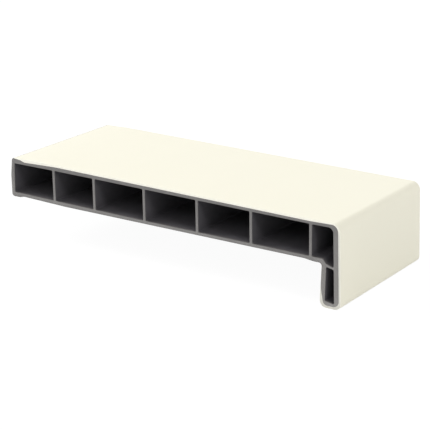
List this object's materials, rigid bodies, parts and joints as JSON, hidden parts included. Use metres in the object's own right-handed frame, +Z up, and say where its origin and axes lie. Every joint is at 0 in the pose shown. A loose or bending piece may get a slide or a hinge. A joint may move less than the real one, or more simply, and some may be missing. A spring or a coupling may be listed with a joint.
{
  "type": "window sill",
  "caption": "Short cut length of hollow-chamber plastic window board with a down-turned front nose, a grey core and a pale capping over its top, front and nose.",
  "frame": {"origin": "under the middle of the board's length and depth, on the level of the nose's lowest line", "axes": "+X along the extrusion from the left saw cut to the right one, -Y towards the nose, +Y towards the rear edge, +Z up"},
  "size_m": [0.0786, 0.1999, 0.0437],
  "materials": {
    "core_grey": "rigid PVC, drawn skin inside and out, sawn at both ends",
    "capping_cream": "smooth satin cream, plain, no grain"
  },
  "bodies": {
    "root": {"hollow_profile": "core_grey", "cream_capping": "capping_cream"}
  },
  "joints": []
}
